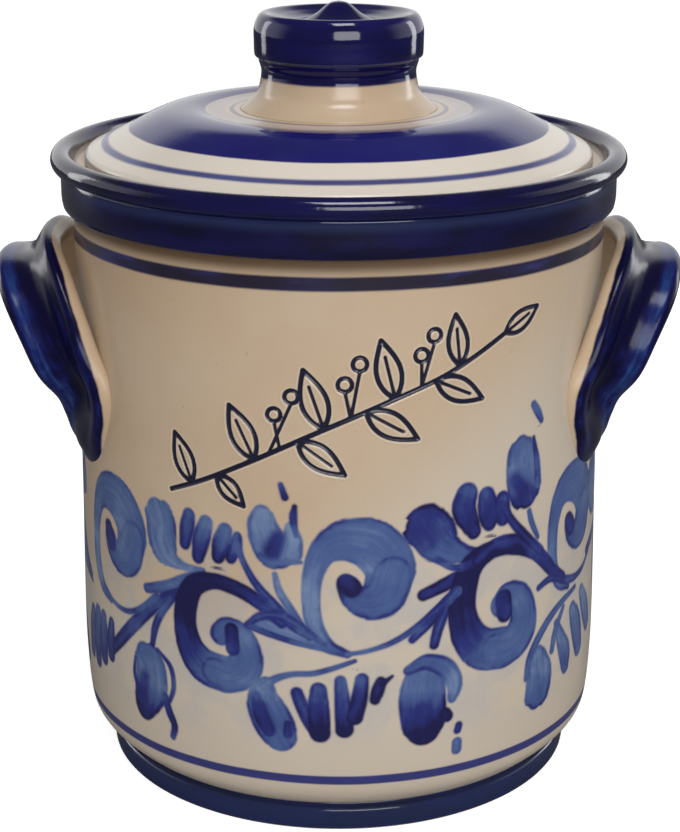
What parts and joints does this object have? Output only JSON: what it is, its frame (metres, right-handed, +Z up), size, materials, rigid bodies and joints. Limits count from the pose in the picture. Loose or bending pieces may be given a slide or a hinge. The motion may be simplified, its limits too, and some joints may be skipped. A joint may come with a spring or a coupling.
{
  "type": "rumtopf pot",
  "caption": "Stoneware fruit preserving crock with a rolled rim, loose domed lid with a turned knob, and ear handles at the sides.",
  "frame": {"origin": "on the crock's axis at the underside of the foot", "axes": "+Z up along the crock's axis, -Y toward the decorated front, handles at +X and -X"},
  "size_m": [0.256, 0.21, 0.2845],
  "materials": {
    "salt_glazed_stoneware": "glossy salt glaze, warm grey, painted in cobalt blue",
    "cobalt_glazed_strap": "glossy cobalt blue over stoneware",
    "salt_glazed_lid": "glossy salt glaze with blue bands",
    "salt_glazed_knob": "glossy salt glaze with a blue band"
  },
  "bodies": {
    "pot": {"pot_body": "salt_glazed_stoneware", "handle_left": "cobalt_glazed_strap", "handle_right": "cobalt_glazed_strap"},
    "lid": {"lid": "salt_glazed_lid", "lid_knob": "salt_glazed_knob"}
  },
  "joints": [
    {"name": "lid_lift", "type": "slide", "parent": "pot", "child": "lid", "axis": [0, 0, 1], "range_m": [0, 0.15]}
  ]
}
